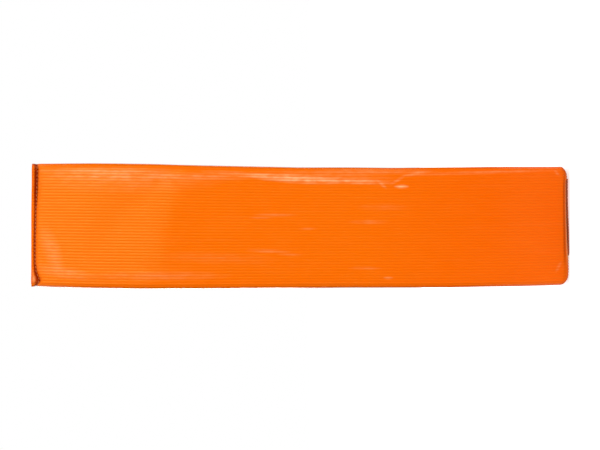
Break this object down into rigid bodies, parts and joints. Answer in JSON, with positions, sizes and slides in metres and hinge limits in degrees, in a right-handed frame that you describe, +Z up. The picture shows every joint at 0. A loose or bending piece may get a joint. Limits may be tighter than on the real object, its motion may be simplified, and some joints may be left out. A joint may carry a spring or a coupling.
{
  "type": "football end zone pylon",
  "caption": "Upright square marker post: ribbed orange vinyl cover over a foam core with a weighted base, sewn fin seam at the top, folded flaps closed with hook and loop below.",
  "frame": {"origin": "middle of the base, on the ground, with the pylon standing upright as it is used", "axes": "+Z up along the pylon from its base to the sewn seam round its top, -Y towards the front face that the picture shows, +X to the right of someone facing that front"},
  "size_m": [0.1056, 0.1056, 0.4572],
  "materials": {
    "vinyl": "satin",
    "hook_tape": "matte",
    "loop_tape": "matte",
    "foam": "matte",
    "pouch_cloth": "matte",
    "sand": "matte"
  },
  "bodies": {
    "cover": {"wrap_panel": "vinyl", "top_panel": "vinyl", "foam_core": "foam", "foam_plug": "foam", "ballast_pouch": "pouch_cloth", "pouch_lid": "pouch_cloth", "ballast_sand": "sand"},
    "closing_flap": {"closing_flap": "vinyl", "hook_tape": "hook_tape"},
    "front_flap": {"front_flap": "vinyl", "loop_tape": "loop_tape"},
    "left_flap": {"left_flap": "vinyl"},
    "right_flap": {"right_flap": "vinyl"}
  },
  "joints": [
    {"name": "closing_flap_hinge", "type": "hinge", "parent": "cover", "child": "closing_flap", "pos_m": [0, 0.04924, 0.0004], "axis": [1, 0, 0], "range_deg": [0, 180]},
    {"name": "front_flap_hinge", "type": "hinge", "parent": "cover", "child": "front_flap", "pos_m": [0, -0.04924, 0.0041], "axis": [-1, 0, 0], "range_deg": [0, 108]},
    {"name": "left_flap_hinge", "type": "hinge", "parent": "cover", "child": "left_flap", "pos_m": [-0.04924, 0, 0.0052], "axis": [0, 1, 0], "range_deg": [0, 108]},
    {"name": "right_flap_hinge", "type": "hinge", "parent": "cover", "child": "right_flap", "pos_m": [0.04924, 0, 0.0052], "axis": [0, -1, 0], "range_deg": [0, 108]}
  ],
  "couplings": [
    {"joint": "front_flap_hinge", "follows": "closing_flap_hinge", "ratio": 0.6},
    {"joint": "left_flap_hinge", "follows": "closing_flap_hinge", "ratio": 0.6},
    {"joint": "right_flap_hinge", "follows": "closing_flap_hinge", "ratio": 0.6}
  ]
}
